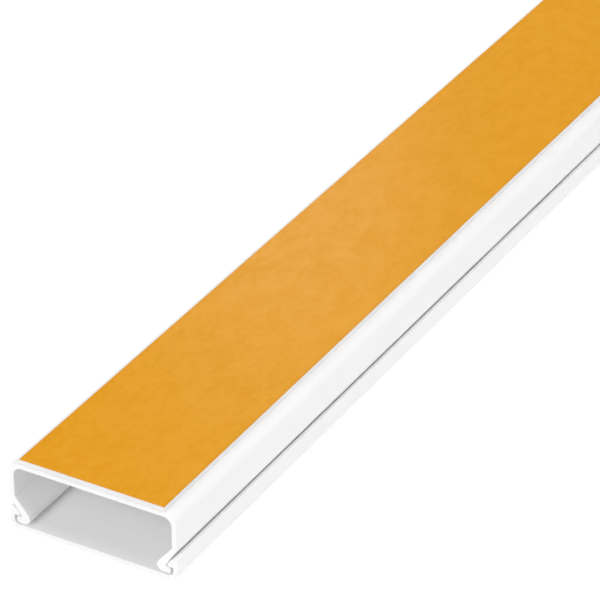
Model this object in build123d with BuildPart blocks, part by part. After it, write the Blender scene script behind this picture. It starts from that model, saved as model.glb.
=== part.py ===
"""Self-adhesive cord cover raceway: a channel base, its snap cover, foam tape and release liner.

Millimetres. X runs across the raceway, Y along it and Z up. The raceway lies on its cover with the
adhesive back uppermost. The origin is in the middle of the cover's outer face.
"""
import os
from math import asin, atan2, hypot, sin, tan

from build123d import *

# Overall size of the closed raceway, from the cover's outer face to the base's back
length = 400.0
width = 40.0
height = 16.0

# Base channel: a web across the back and two side walls
web_thickness = 1.05
wall_thickness = 1.1
back_edge_radius = 2.0
channel_corner_radius = 2.0

# Lip on each wall: it slants inward below the shoulder, rounds a nose and returns outward as a foot
shoulder_height = 7.75
shoulder_edge_radius = 0.25
lip_bend_radius = 0.8
nose_inset = 4.7
nose_radius = 1.4
groove_inset = 2.75
groove_root_radius = 0.15
foot_thickness = 1.5
toe_radius = 0.6

# Snap cover: a plate with a leg along each edge, and a hook on each leg that fills the lip's groove
plate_thickness = 1.0
leg_thickness = 0.9
leg_height = 5.6
leg_top_radius = 0.5
cover_edge_radius = 2.1
cover_corner_radius = 1.1
hook_crest_height = 4.6
hook_crest_radius = 0.2
hook_tip_radius = 0.3
hook_heel_radius = 0.2

# Fits between the cover and the lips
snap_clearance = 0.15
seat_clearance = 0.5
toe_clearance = 0.6

# Foam tape on the base's back, and the liner over its adhesive
tape_margin = 2.7
tape_thickness = 1.2
liner_thickness = 0.13

# Faces that both the base and the cover are drawn from
half_width = width / 2
wall_inner = half_width - wall_thickness
web_inner = height - web_thickness
leg_inner = half_width - leg_thickness
foot_bottom = plate_thickness + seat_clearance
foot_top = foot_bottom + foot_thickness
toe_end = leg_inner - toe_clearance
groove_root = half_width - groove_inset
lip_angle = atan2(shoulder_height - foot_top, groove_inset)
tape_width = width - 2 * tape_margin

# The lip's inner face runs from the wall to touch the round nose
nose_rise = shoulder_height - foot_bottom - nose_radius
nose_run = wall_inner - (half_width - nose_inset + nose_radius)
inner_face_angle = atan2(nose_rise, nose_run) - asin(nose_radius / hypot(nose_rise, nose_run))
nose_corner = wall_inner - (shoulder_height - foot_bottom) / tan(inner_face_angle)


def hook_face(z):
    """Where the hook's inner face lies at height z, beside the lip's slanted outer face."""
    return groove_root + (z - foot_top) / tan(lip_angle) + snap_clearance / sin(lip_angle)


# Base channel, drawn as half of its section from the back round to the inside of the web
with BuildPart() as base_channel:
    with BuildSketch(Plane.XZ):
        with BuildLine():
            FilletPolyline(
                (0, height),
                (half_width, height),
                (half_width, shoulder_height),
                (groove_root, foot_top),
                (toe_end, foot_top),
                (toe_end, foot_bottom),
                (nose_corner, foot_bottom),
                (wall_inner, shoulder_height),
                (wall_inner, web_inner),
                (0, web_inner),
                radius=(
                    back_edge_radius,
                    shoulder_edge_radius,
                    groove_root_radius,
                    toe_radius,
                    toe_radius,
                    nose_radius,
                    lip_bend_radius,
                    channel_corner_radius,
                ),
            )
            mirror(about=Plane.YZ)
        make_face()
    extrude(amount=length / 2, both=True)
base_channel.part.label = "base_channel"

# Snap cover, drawn as half of its section from the outer face round to the inside of the plate
hook_bottom = foot_top + snap_clearance
with BuildPart() as snap_cover:
    with BuildSketch(Plane.XZ):
        with BuildLine():
            FilletPolyline(
                (0, 0),
                (half_width, 0),
                (half_width, leg_height),
                (hook_face(hook_crest_height), hook_crest_height),
                (hook_face(hook_bottom), hook_bottom),
                (leg_inner, hook_bottom),
                (leg_inner, plate_thickness),
                (0, plate_thickness),
                radius=(
                    cover_edge_radius,
                    leg_top_radius,
                    hook_crest_radius,
                    hook_tip_radius,
                    hook_heel_radius,
                    cover_corner_radius,
                ),
            )
            mirror(about=Plane.YZ)
        make_face()
    extrude(amount=length / 2, both=True)
snap_cover.part.label = "snap_cover"

# Foam tape, full length along the middle of the base's back
with BuildPart() as foam_tape:
    with BuildSketch(Plane.XY.offset(height)):
        Rectangle(tape_width, length)
    extrude(amount=tape_thickness)
foam_tape.part.label = "foam_tape"

# Release liner, cut flush with the tape
with BuildPart() as release_liner:
    with BuildSketch(Plane.XY.offset(height + tape_thickness)):
        Rectangle(tape_width, length)
    extrude(amount=liner_thickness)
release_liner.part.label = "release_liner"

os.makedirs("parts", exist_ok=True)
for piece in (base_channel, snap_cover, foam_tape, release_liner):
    export_step(piece.part, f"parts/{piece.part.label}.step")
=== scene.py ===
"""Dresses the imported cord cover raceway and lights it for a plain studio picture.

Metres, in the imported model's frame: X across the raceway, Y along it and Z up. The raceway lies on
its cover, with the amber release liner uppermost.
"""
import math
from typing import NamedTuple

import bpy
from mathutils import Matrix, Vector, noise


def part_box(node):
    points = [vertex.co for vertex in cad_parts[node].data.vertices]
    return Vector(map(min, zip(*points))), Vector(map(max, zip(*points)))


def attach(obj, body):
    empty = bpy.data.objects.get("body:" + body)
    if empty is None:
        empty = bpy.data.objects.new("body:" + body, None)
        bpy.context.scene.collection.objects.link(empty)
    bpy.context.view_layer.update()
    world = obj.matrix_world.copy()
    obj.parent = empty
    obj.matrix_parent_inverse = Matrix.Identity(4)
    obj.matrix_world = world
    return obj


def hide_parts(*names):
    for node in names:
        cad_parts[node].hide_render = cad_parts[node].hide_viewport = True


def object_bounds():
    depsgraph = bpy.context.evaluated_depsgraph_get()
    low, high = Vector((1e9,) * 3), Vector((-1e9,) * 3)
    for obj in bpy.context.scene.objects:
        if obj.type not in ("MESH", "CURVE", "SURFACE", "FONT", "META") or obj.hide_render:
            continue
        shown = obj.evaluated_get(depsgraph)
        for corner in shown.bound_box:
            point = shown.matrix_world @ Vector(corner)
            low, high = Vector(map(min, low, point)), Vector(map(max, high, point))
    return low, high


class Softbox(NamedTuple):
    """A square soft lamp: where it stands in degrees, its distance and side in metres, and its watts."""
    azimuth: float
    elevation: float
    distance: float
    side: float
    power: float


class Texture(NamedTuple):
    """Cloudy noise: waves per metre along X, Y and Z, detail, roughness, and a turn about Z in radians."""
    fineness: tuple
    detail: float = 3.0
    roughness: float = 0.5
    turn: float = 0.0


class Relief(NamedTuple):
    """A bump: its depth in metres and how strongly it shows."""
    depth: float
    strength: float


class Span(NamedTuple):
    """A change of range: the source's low and high become the target's."""
    source: tuple
    target: tuple


MM = 0.001
WHITE = (1.0, 1.0, 1.0)

# Camera, from the photograph's long edges: it aims at the liner, a little way from the near end
CAMERA_AZIMUTH = 29.72
CAMERA_ELEVATION = 31.38
CAMERA_DISTANCE = 0.784
CAMERA_LENS_MM = 215.7
SENSOR_WIDTH_MM = 36.0
AIM_FROM_NEAR_END = 82.3 * MM
AIM_OFF_MIDDLE = 1.5 * MM

# Studio: an even white room on a white floor, with a few softboxes. Light passes between the white
# faces inside the channel and its grooves many times before it fades
ROOM_STRENGTH = 0.4
ROOM_SHOWN = 1.0
WHITE_BOUNCES = 12
FLOOR_SIDE = 8.0
FLOOR_DROP = 0.05 * MM
FLOOR_BOUNCE = 0.88
FLOOR_SHADE = 0.42
FLOOR_GLOW = 0.66
SOFTBOXES = {
    "front_softbox": Softbox(-6, 28, 1.6, 0.8, 11.5),
    "right_softbox": Softbox(97, 15, 1.6, 0.7, 7.0),
    "top_softbox": Softbox(97, 80, 1.6, 1.0, 6.8),
    "sheen_softbox": Softbox(210.5, 27.5, 0.45, 0.08, 0.15),
}

# White rigid PVC: a smooth cloudy skin with die lines along it, and saw marks on its cut ends
PVC_WHITES = ((0.35, (0.944, 0.946, 0.948)), (0.65, (0.96, 0.96, 0.959)))
PVC_STREAK = (0.926, 0.929, 0.933)
PVC_SAWN = (0.965, 0.965, 0.965)
PVC_CLOUDS = Texture((45, 45, 45))
PVC_GRAIN = Texture((5200, 5200, 5200), 2.0)
PVC_LINES = Texture((1500, 5, 1500), 4.0, 0.6)
PVC_SAW_MARKS = Texture((90, 90, 3600), 4.0, 0.65)
PVC_STREAK_SHARE = Span((0.35, 0.7), (0.0, 0.35))
PVC_SAWN_SHARE = Span((0.3, 0.7), (0.2, 0.7))
PVC_ROUGHNESS = Span((0.3, 0.7), (0.34, 0.43))
PVC_LINE_ROUGHNESS = Span((0.3, 0.7), (-0.03, 0.03))
PVC_SAWN_ROUGHNESS = 0.58
PVC_GRAIN_RELIEF = Relief(0.004 * MM, 0.25)
PVC_LINE_RELIEF = Relief(0.02 * MM, 0.3)
PVC_IOR = 1.53
PVC_SCATTER = 0.25
PVC_SCATTER_RADII = (1, 1, 1)
PVC_SCATTER_DEPTH = 0.8 * MM
PVC_CUT_SLANT = 0.7

# White foam tape: closed cells with painted shade in their pits, and a film of adhesive over the last
# shares of its half thickness.
# Its slit sides bulge a little and wander along the length
FOAM_WHITES = ((0.35, (0.83, 0.825, 0.83)), (0.65, (0.88, 0.876, 0.88)))
# The pit colour is painted shade: it greys each foam cell towards its sunken middle
FOAM_PIT_SHADE = (0.73, 0.725, 0.73)
FOAM_FILM = (0.84, 0.81, 0.76)
FOAM_CLOUDS = Texture((160, 160, 160), 4.0)
FOAM_CELLS = 4200
# How much painted shade each pit gets, from the cell's middle outwards
FOAM_PIT_SHADE_SHARE = Span((0.0, 0.6), (0.3, 0.0))
FOAM_FILM_EDGE = (0.86, 0.93)
FOAM_ROUGHNESS = Span((0.3, 0.7), (0.8, 0.92))
FOAM_FILM_ROUGHNESS = 0.45
FOAM_CELL_RELIEF = Relief(0.05 * MM, 0.6)
FOAM_IOR = 1.5
FOAM_GLOSS = 0.3
FOAM_GRID = (36, 240, 6)
FOAM_SIDE_BULGE = 0.05 * MM
FOAM_SIDE_WANDER = 0.05 * MM
FOAM_SIDE_SETBACK = 0.03 * MM
FOAM_SIDE_PITCH = 9 * MM
FOAM_END_BULGE = 0.024 * MM
FOAM_END_WANDER = 0.03 * MM
FOAM_END_SETBACK = 0.045 * MM
FOAM_END_PITCH = 2.5 * MM
FOAM_EDGE_RADIUS = 0.08 * MM

# Amber release liner: thin glassine paper that follows the tape with a slight cockle
LINER_AMBERS = (
    (0.4, (0.797, 0.336, 0.006)),
    (0.5, (0.822, 0.355, 0.011)),
    (0.6, (0.847, 0.374, 0.018)),
)
LINER_FIBRE = (0.85, 0.42, 0.03)
LINER_SPECK = (0.7, 0.27, 0.008)
LINER_SLIT = (0.7, 0.29, 0.012)
LINER_RIM = (0.62, 0.34, 0.09)
LINER_CLOUDS = Texture((210, 120, 120), 5.0, 0.6)
LINER_MOTTLE = Texture((750, 430, 430), 4.0, 0.6)
LINER_MOTTLE_SHARE = 0.55
LINER_SPECKS = Texture((1500, 850, 850), 2.0)
LINER_FIBRES = Texture((5200, 420, 420), 2.0, turn=0.5)
LINER_CROSS_FIBRES = Texture((4600, 380, 380), 2.0, turn=-0.8)
LINER_RIPPLES = Texture((70, 45, 45), 2.0)
LINER_FIBRE_SHARE = Span((0.6, 0.8), (0.0, 0.3))
LINER_SPECK_SHARE = Span((0.58, 0.76), (0.0, 0.3))
LINER_SLIT_WIDTH = 0.7 * MM
LINER_SLIT_SHARE = 0.5
LINER_RIM_SLANT = 0.5
LINER_ROUGHNESS = Span((0.4, 0.6), (0.34, 0.27))
LINER_FIBRE_RELIEF = Relief(0.012 * MM, 0.4)
LINER_RIPPLE_RELIEF = Relief(0.25 * MM, 0.08)
LINER_IOR = 1.5
LINER_GLOSS = 0.04
LINER_GRID = (36, 240, 1)
LINER_PAPER = 0.09 * MM
LINER_COCKLE = 0.03 * MM
LINER_COCKLE_PITCH = 28 * MM
LINER_SIDE_WANDER = 0.06 * MM
LINER_SIDE_PITCH = 40 * MM
LINER_END_WANDER = 0.12 * MM
LINER_END_PITCH = 3 * MM
LINER_EDGE_RADIUS = 0.02 * MM

# Rounding of the soft pieces' edges
EDGE_SEGMENTS = 2
SHARP_ANGLE = math.radians(50)

# Seeds that keep the soft pieces' wanders apart. The right side and the far end add 1 to theirs
FOAM_SIDE_SEED = 3.0
FOAM_END_SEED = 7.0
LINER_COCKLE_SEED = 11.0
LINER_SIDE_SEED = 17.0
LINER_END_SEED = 23.0


class Tree:
    """Adds nodes to a material's or world's node tree and joins them."""

    def __init__(self, owner):
        owner.use_nodes = True
        self.nodes, self.links = owner.node_tree.nodes, owner.node_tree.links
        self.nodes.clear()

    def feed(self, socket, value):
        """Joins an output to a socket, or sets a constant on it."""
        if isinstance(value, bpy.types.NodeSocket):
            self.links.new(value, socket)
        elif socket.type == "RGBA" and len(value) == 3:
            socket.default_value = (*value, 1.0)
        else:
            socket.default_value = value

    def add(self, kind, inputs=None, **settings):
        """A new node, with its settings made and its inputs fed."""
        node = self.nodes.new("ShaderNode" + kind)
        for name, value in settings.items():
            setattr(node, name, value)
        for name, value in (inputs or {}).items():
            self.feed(node.inputs[name], value)
        return node

    def noise(self, place, texture):
        """A texture's values, from 0 to 1, over a place."""
        turn = (0, 0, texture.turn)
        spread = self.add("Mapping", {"Vector": place, "Scale": texture.fineness, "Rotation": turn})
        node = self.add("TexNoise", {
            "Vector": spread.outputs["Vector"],
            "Scale": 1.0,
            "Detail": texture.detail,
            "Roughness": texture.roughness,
        })
        return node.outputs["Fac"]

    def ramp(self, value, stops):
        """Colours along a value, as (position, colour) pairs."""
        node = self.add("ValToRGB", {"Fac": value})
        while len(node.color_ramp.elements) < len(stops):
            node.color_ramp.elements.new(0.5)
        for element, (position, colour) in zip(node.color_ramp.elements, stops):
            element.position = position
            element.color = (*colour, 1.0)
        return node.outputs["Color"]

    def rescale(self, value, span):
        """A value carried over from one range to another, and held within it."""
        low, high = span.source
        to_low, to_high = span.target
        inputs = {"Value": value, "From Min": low, "From Max": high, "To Min": to_low, "To Max": to_high}
        return self.add("MapRange", inputs).outputs["Result"]

    def maths(self, operation, first, second=0.0):
        """The result of one operation on a value, or on two."""
        node = self.add("Math", operation=operation)
        for socket, value in zip(node.inputs, (first, second)):
            self.feed(socket, value)
        return node.outputs["Value"]

    def bump(self, height, relief, under=None):
        """A normal that follows a height, on top of the relief under it."""
        inputs = {"Height": height, "Distance": relief.depth, "Strength": relief.strength}
        if under:
            inputs["Normal"] = under
        return self.add("Bump", inputs).outputs["Normal"]

    def blend(self, share, first, second):
        """Two values, mixed by a share."""
        node = self.add("Mix", data_type="FLOAT")
        for index, value in ((0, share), (2, first), (3, second)):
            self.feed(node.inputs[index], value)
        return node.outputs[0]

    def tint(self, share, first, second):
        """Two colours, mixed by a share."""
        node = self.add("Mix", data_type="RGBA")
        for index, value in ((0, share), (6, first), (7, second)):
            self.feed(node.inputs[index], value)
        return node.outputs[2]

    def reach(self, vector, axis):
        """How far a vector goes along an axis, either way."""
        return self.maths("ABSOLUTE", self.add("SeparateXYZ", {"Vector": vector}).outputs[axis])

    def seen(self):
        """1 for a ray from the camera, a reflection or a clear material, and 0 for light that bounces."""
        path = self.add("LightPath")
        mirrored = self.maths("MAXIMUM", path.outputs["Is Glossy Ray"], path.outputs["Is Transmission Ray"])
        return self.maths("MAXIMUM", path.outputs["Is Camera Ray"], mirrored)

    def by_sight(self, unseen, shown):
        """One shader for light that bounces, and another for what is seen."""
        node = self.add("MixShader", {"Fac": self.seen()})
        self.feed(node.inputs[1], unseen)
        self.feed(node.inputs[2], shown)
        return node.outputs["Shader"]

    def finish(self, shader, output="OutputMaterial"):
        """Joins the last shader to the tree's output."""
        self.add(output, {"Surface": shader})


def pvc_material():
    """White rigid PVC: faint die lines along it, a fine grain, and rougher saw-cut ends."""
    material = bpy.data.materials.new("pvc_extruded")
    tree = Tree(material)
    place = tree.add("TexCoord").outputs
    at = place["Object"]
    lines = tree.noise(at, PVC_LINES)
    cloud = tree.noise(at, PVC_CLOUDS)
    grain = tree.noise(at, PVC_GRAIN)
    saw_marks = tree.noise(at, PVC_SAW_MARKS)
    cut = tree.maths("GREATER_THAN", tree.reach(place["Normal"], "Y"), PVC_CUT_SLANT)

    white = tree.ramp(cloud, PVC_WHITES)
    streaked = tree.tint(tree.rescale(lines, PVC_STREAK_SHARE), white, PVC_STREAK)
    sawn = tree.maths("MULTIPLY", cut, tree.rescale(saw_marks, PVC_SAWN_SHARE))
    uneven = tree.rescale(lines, PVC_LINE_ROUGHNESS)
    skin = tree.maths("ADD", tree.rescale(cloud, PVC_ROUGHNESS), uneven)
    scored = tree.bump(tree.blend(cut, lines, saw_marks), PVC_LINE_RELIEF)
    shader = tree.add("BsdfPrincipled", {
        "Base Color": tree.tint(sawn, streaked, PVC_SAWN),
        "Roughness": tree.blend(cut, skin, PVC_SAWN_ROUGHNESS),
        "Normal": tree.bump(grain, PVC_GRAIN_RELIEF, scored),
        "IOR": PVC_IOR,
        "Subsurface Weight": PVC_SCATTER,
        "Subsurface Radius": PVC_SCATTER_RADII,
        "Subsurface Scale": PVC_SCATTER_DEPTH,
    })
    tree.finish(shader.outputs["BSDF"])
    return material


def foam_material(low, high):
    """White closed-cell foam, with painted shade in its cell pits and a thin film of adhesive along its top
    and bottom.
    """
    material = bpy.data.materials.new("foam_cells")
    tree = Tree(material)
    at = tree.add("TexCoord").outputs["Object"]
    cells = tree.add("TexVoronoi", {"Vector": at, "Scale": FOAM_CELLS, "Randomness": 1.0})
    from_cell = cells.outputs["Distance"]
    cloud = tree.noise(at, FOAM_CLOUDS)
    middle, half = (low + high) / 2, (high - low) / 2
    off_middle = tree.add("VectorMath", {0: at, 1: (0, 0, middle)}, operation="SUBTRACT")
    film_edge = Span([half * share for share in FOAM_FILM_EDGE], (0.0, 1.0))
    film = tree.rescale(tree.reach(off_middle.outputs["Vector"], "Z"), film_edge)

    foam = tree.ramp(cloud, FOAM_WHITES)
    # Painted shade: greyer towards the sunken middle of each foam cell
    pit_shaded = tree.tint(tree.rescale(from_cell, FOAM_PIT_SHADE_SHARE), foam, FOAM_PIT_SHADE)
    shader = tree.add("BsdfPrincipled", {
        "Base Color": tree.tint(film, pit_shaded, FOAM_FILM),
        "Roughness": tree.blend(film, tree.rescale(cloud, FOAM_ROUGHNESS), FOAM_FILM_ROUGHNESS),
        "Normal": tree.bump(from_cell, FOAM_CELL_RELIEF),
        "IOR": FOAM_IOR,
        "Specular IOR Level": FOAM_GLOSS,
    })
    tree.finish(shader.outputs["BSDF"])
    return material


def liner_material(half_width):
    """Amber silicone-coated paper: cloudy pulp, short fibres, darker slit edges and a soft uneven sheen."""
    material = bpy.data.materials.new("amber_paper")
    tree = Tree(material)
    place = tree.add("TexCoord").outputs
    at = place["Object"]
    mottle = tree.noise(at, LINER_MOTTLE)
    pulp = tree.blend(LINER_MOTTLE_SHARE, tree.noise(at, LINER_CLOUDS), mottle)
    specks = tree.noise(at, LINER_SPECKS)
    fibres = tree.maths("MAXIMUM", tree.noise(at, LINER_FIBRES), tree.noise(at, LINER_CROSS_FIBRES))
    ripples = tree.noise(at, LINER_RIPPLES)
    slit_edge = Span((half_width - LINER_SLIT_WIDTH, half_width), (0.0, LINER_SLIT_SHARE))
    slit = tree.rescale(tree.reach(at, "X"), slit_edge)
    rim = tree.maths("LESS_THAN", tree.reach(place["Normal"], "Z"), LINER_RIM_SLANT)

    amber = tree.ramp(pulp, LINER_AMBERS)
    fibred = tree.tint(tree.rescale(fibres, LINER_FIBRE_SHARE), amber, LINER_FIBRE)
    specked = tree.tint(tree.rescale(specks, LINER_SPECK_SHARE), fibred, LINER_SPECK)
    edged = tree.tint(slit, specked, LINER_SLIT)
    paper = tree.bump(tree.maths("ADD", fibres, mottle), LINER_FIBRE_RELIEF)
    shader = tree.add("BsdfPrincipled", {
        "Base Color": tree.tint(rim, edged, LINER_RIM),
        "Roughness": tree.rescale(pulp, LINER_ROUGHNESS),
        "Normal": tree.bump(ripples, LINER_RIPPLE_RELIEF, paper),
        "IOR": LINER_IOR,
        "Specular IOR Level": LINER_GLOSS,
    })
    tree.finish(shader.outputs["BSDF"])
    return material


def floor_material():
    """White floor that shows white to the camera, apart from the raceway's soft shadow."""
    material = bpy.data.materials.new("studio_floor")
    tree = Tree(material)
    bounce = tree.add("BsdfDiffuse", {"Color": (FLOOR_BOUNCE,) * 3})
    shade = tree.add("BsdfDiffuse", {"Color": (FLOOR_SHADE,) * 3})
    glow = tree.add("Emission", {"Color": WHITE, "Strength": FLOOR_GLOW})
    shown = tree.add("AddShader", {0: shade.outputs["BSDF"], 1: glow.outputs["Emission"]})
    tree.finish(tree.by_sight(bounce.outputs["BSDF"], shown.outputs["Shader"]))
    return material


def grid_box(low, high, counts):
    """A box gridded on every side: points, faces, and each point's place from 0 to 1 on each axis."""
    index, points, shares = {}, [], []

    def corner(*step):
        """The number of the point at one step of the grid, added when it is first met."""
        if step not in index:
            index[step] = len(points)
            share = [s / c for s, c in zip(step, counts)]
            shares.append(share)
            points.append(Vector(a + (b - a) * s for a, b, s in zip(low, high, share)))
        return index[step]

    def ring(axis, side, i, j):
        """The four corners of one face, in order round it."""
        corners = []
        for di, dj in ((0, 0), (1, 0), (1, 1), (0, 1)):
            step = [0, 0, 0]
            step[axis], step[(axis + 1) % 3], step[(axis + 2) % 3] = side, i + di, j + dj
            corners.append(corner(*step))
        return corners if side else corners[::-1]

    faces = [
        ring(axis, side, i, j)
        for axis in range(3)
        for side in (0, counts[axis])
        for i in range(counts[(axis + 1) % 3])
        for j in range(counts[(axis + 2) % 3])
    ]
    return points, faces, shares


def add_object(name, data):
    """A new object in the scene."""
    thing = bpy.data.objects.new(name, data)
    bpy.context.scene.collection.objects.link(thing)
    return thing


def add_mesh(name, points, faces, material):
    """A new mesh of one material in the scene."""
    mesh = bpy.data.meshes.new(name)
    mesh.from_pydata(points, [], faces)
    mesh.materials.append(material)
    return add_object(name, mesh)


def soften(piece, edge_radius):
    """Shades a piece smooth and rounds its sharp edges."""
    piece.data.shade_smooth()
    bevel = piece.modifiers.new("soft_edges", "BEVEL")
    bevel.width, bevel.segments = edge_radius, EDGE_SEGMENTS
    bevel.limit_method, bevel.angle_limit = "ANGLE", SHARP_ANGLE
    bevel.harden_normals = True


def waver(along, across, seed, pitch):
    """A smooth wander between -1 and 1, with a given distance between its waves."""
    return noise.noise(Vector((along / pitch, across / pitch, seed)))


def swell(along, across, seed, pitch):
    """A smooth wander between 0 and 1."""
    return (1 + waver(along, across, seed, pitch)) / 2


def add_foam(low, high):
    """The foam tape, with bulging, slightly uneven sides and ends."""
    points, faces, shares = grid_box(low, high, FOAM_GRID)
    for p, (u, v, w) in zip(points, shares):
        fullness = 1 - (2 * w - 1) ** 2
        if u in (0, 1):
            wander = FOAM_SIDE_WANDER * waver(p.y, p.z, FOAM_SIDE_SEED + u, FOAM_SIDE_PITCH)
            out = FOAM_SIDE_BULGE * fullness + wander - FOAM_SIDE_SETBACK
            p.x += out if u else -out
        if v in (0, 1):
            wander = FOAM_END_WANDER * waver(p.x, p.z, FOAM_END_SEED + v, FOAM_END_PITCH)
            out = FOAM_END_BULGE * fullness - wander - FOAM_END_SETBACK
            p.y += out if v else -out
    strip = add_mesh("foam_strip", points, faces, foam_material(low.z, high.z))
    soften(strip, FOAM_EDGE_RADIUS)
    return strip


def add_liner(low, high):
    """The release liner, which rises and falls a little and wanders along its cut edges."""
    top = Vector((high.x, high.y, low.z + LINER_PAPER))
    points, faces, shares = grid_box(low, top, LINER_GRID)
    for p, (u, v, _) in zip(points, shares):
        p.z += LINER_COCKLE * swell(p.x, p.y, LINER_COCKLE_SEED, LINER_COCKLE_PITCH)
        if u in (0, 1):
            p.x += LINER_SIDE_WANDER * waver(p.y, 0.0, LINER_SIDE_SEED + u, LINER_SIDE_PITCH)
        if v in (0, 1):
            back = LINER_END_WANDER * swell(p.x, 0.0, LINER_END_SEED + v, LINER_END_PITCH)
            p.y += -back if v else back
    paper = add_mesh("paper_liner", points, faces, liner_material(high.x))
    soften(paper, LINER_EDGE_RADIUS)
    return paper


def direction(azimuth, elevation):
    """From the raceway towards a place: azimuth 0 is in front of the near end and 90 is at the right."""
    azimuth, elevation = math.radians(azimuth), math.radians(elevation)
    flat = math.cos(elevation)
    return Vector((math.sin(azimuth) * flat, -math.cos(azimuth) * flat, math.sin(elevation)))


def aim_object(name, data, aim, back, distance):
    """A new object that faces the aim from a distance away, in the direction back."""
    thing = add_object(name, data)
    thing.location = aim + back * distance
    thing.rotation_mode = "QUATERNION"
    thing.rotation_quaternion = (-back).to_track_quat("-Z", "Y")
    return thing


def add_camera(aim):
    """The photograph's view."""
    lens = bpy.data.cameras.new("camera")
    lens.sensor_width, lens.lens = SENSOR_WIDTH_MM, CAMERA_LENS_MM
    back = direction(CAMERA_AZIMUTH, CAMERA_ELEVATION)
    bpy.context.scene.camera = aim_object("camera", lens, aim, back, CAMERA_DISTANCE)


def add_softbox(name, aim, box):
    """One lamp, facing the aim."""
    light = bpy.data.lights.new(name, "AREA")
    light.shape, light.size, light.energy = "SQUARE", box.side, box.power
    aim_object(name, light, aim, direction(box.azimuth, box.elevation), box.distance)


def add_floor(height):
    """A wide square floor."""
    half = FLOOR_SIDE / 2
    corners = [(x * half, y * half, height) for x, y in ((-1, -1), (1, -1), (1, 1), (-1, 1))]
    floor = add_mesh("floor", corners, [(0, 1, 2, 3)], floor_material())


def light_room():
    """An even white room: full white where it is seen, and softer as light on the raceway."""
    world = bpy.data.worlds.new("studio_room")
    tree = Tree(world)
    lit = tree.add("Background", {"Color": WHITE, "Strength": ROOM_STRENGTH})
    shown = tree.add("Background", {"Color": WHITE, "Strength": ROOM_SHOWN})
    tree.finish(tree.by_sight(lit.outputs["Background"], shown.outputs["Background"]), "OutputWorld")
    bpy.context.scene.world = world


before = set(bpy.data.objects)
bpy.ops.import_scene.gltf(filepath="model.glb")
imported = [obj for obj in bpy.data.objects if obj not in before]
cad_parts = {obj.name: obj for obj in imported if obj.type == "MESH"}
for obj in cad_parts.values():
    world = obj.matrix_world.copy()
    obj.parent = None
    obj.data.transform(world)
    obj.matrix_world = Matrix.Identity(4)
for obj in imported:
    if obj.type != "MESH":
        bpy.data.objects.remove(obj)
cad_low, cad_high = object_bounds()

pvc = pvc_material()
for node in ("base_channel", "snap_cover"):
    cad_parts[node].material_slots[0].material = pvc

foam = add_foam(*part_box("foam_tape"))
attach(foam, "base")
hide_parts("foam_tape")

liner_low, liner_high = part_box("release_liner")
liner = add_liner(liner_low, liner_high)
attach(liner, "base")
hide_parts("release_liner")

aim = Vector((AIM_OFF_MIDDLE, cad_low.y + AIM_FROM_NEAR_END, cad_high.z))
add_camera(aim)
add_floor(cad_low.z - FLOOR_DROP)
light_room()
for name, box in SOFTBOXES.items():
    add_softbox(name, aim, box)
bpy.context.scene.cycles.diffuse_bounces = WHITE_BOUNCES
bpy.context.scene.view_settings.view_transform = "Standard"
